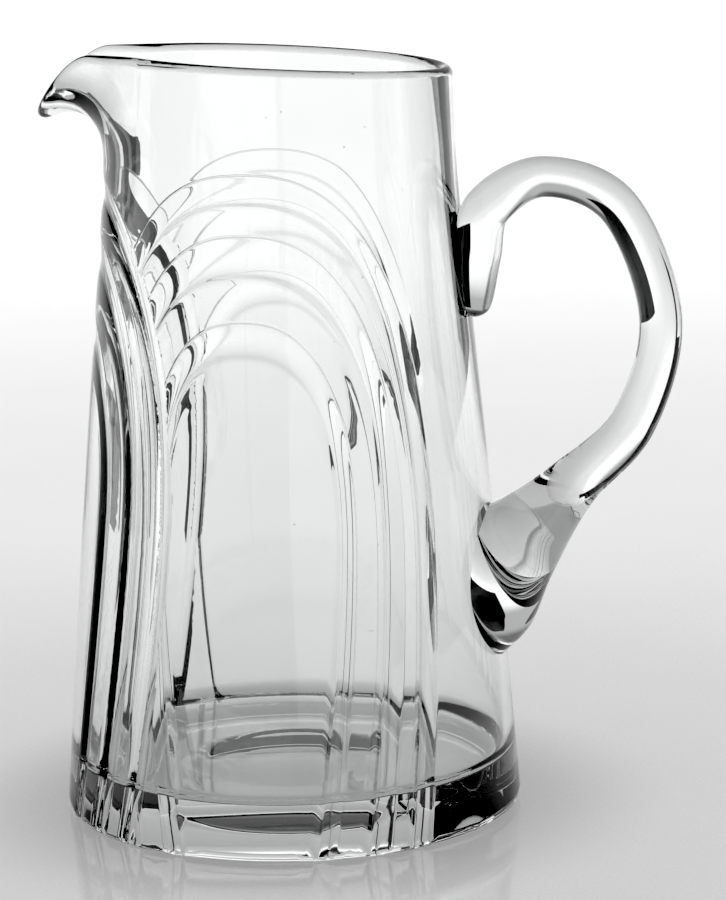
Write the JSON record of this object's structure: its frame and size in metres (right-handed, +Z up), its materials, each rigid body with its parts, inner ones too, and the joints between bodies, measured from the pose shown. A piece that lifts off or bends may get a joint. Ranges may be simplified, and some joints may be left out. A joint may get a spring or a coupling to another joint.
{
  "type": "pitcher",
  "caption": "Clear glass pitcher with a tapered body cut in nested arches, a thick base, a rolled pouring lip and an applied loop handle, for serving drinks.",
  "frame": {"origin": "under the middle of the whole outline, on the plane that the foot stands on", "axes": "+Z up, +X towards the handle, -X towards the pouring lip"},
  "size_m": [0.1968, 0.1436, 0.2367],
  "materials": {
    "vessel_glass": "clear, fire polished",
    "handle_glass": "clear, fire polished"
  },
  "bodies": {
    "root": {"vessel": "vessel_glass", "handle": "handle_glass"}
  },
  "joints": []
}
